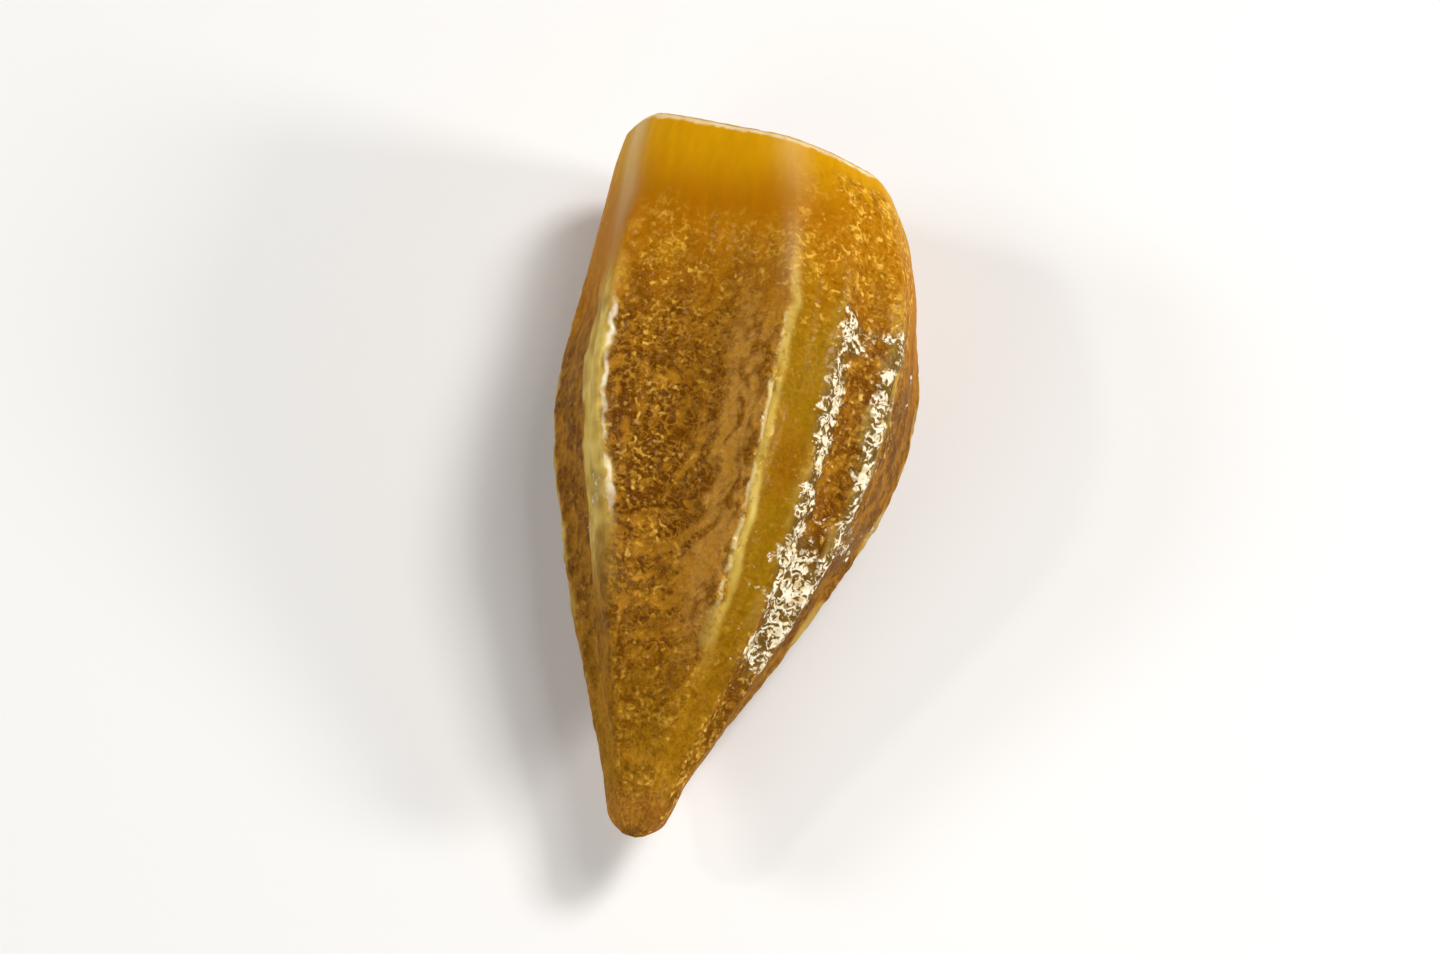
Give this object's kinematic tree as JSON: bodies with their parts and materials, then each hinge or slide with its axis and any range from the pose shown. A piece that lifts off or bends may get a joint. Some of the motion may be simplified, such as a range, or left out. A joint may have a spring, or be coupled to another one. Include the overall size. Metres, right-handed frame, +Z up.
{
  "type": "okra pod",
  "caption": "Small cooked okra pod with its cap pared flat across, ribbed lengthwise, lying on one of its faces.",
  "frame": {"origin": "middle of the pod's box, on the surface that it lies on", "axes": "+Y along the pod from its tip to its cut end, +X to the right seen from above with the cut end away, +Z up from the surface"},
  "size_m": [0.0192, 0.0396, 0.0152],
  "materials": {
    "cooked_okra": "wet, soft, slightly translucent"
  },
  "bodies": {
    "root": {"pod": "cooked_okra"}
  },
  "joints": []
}
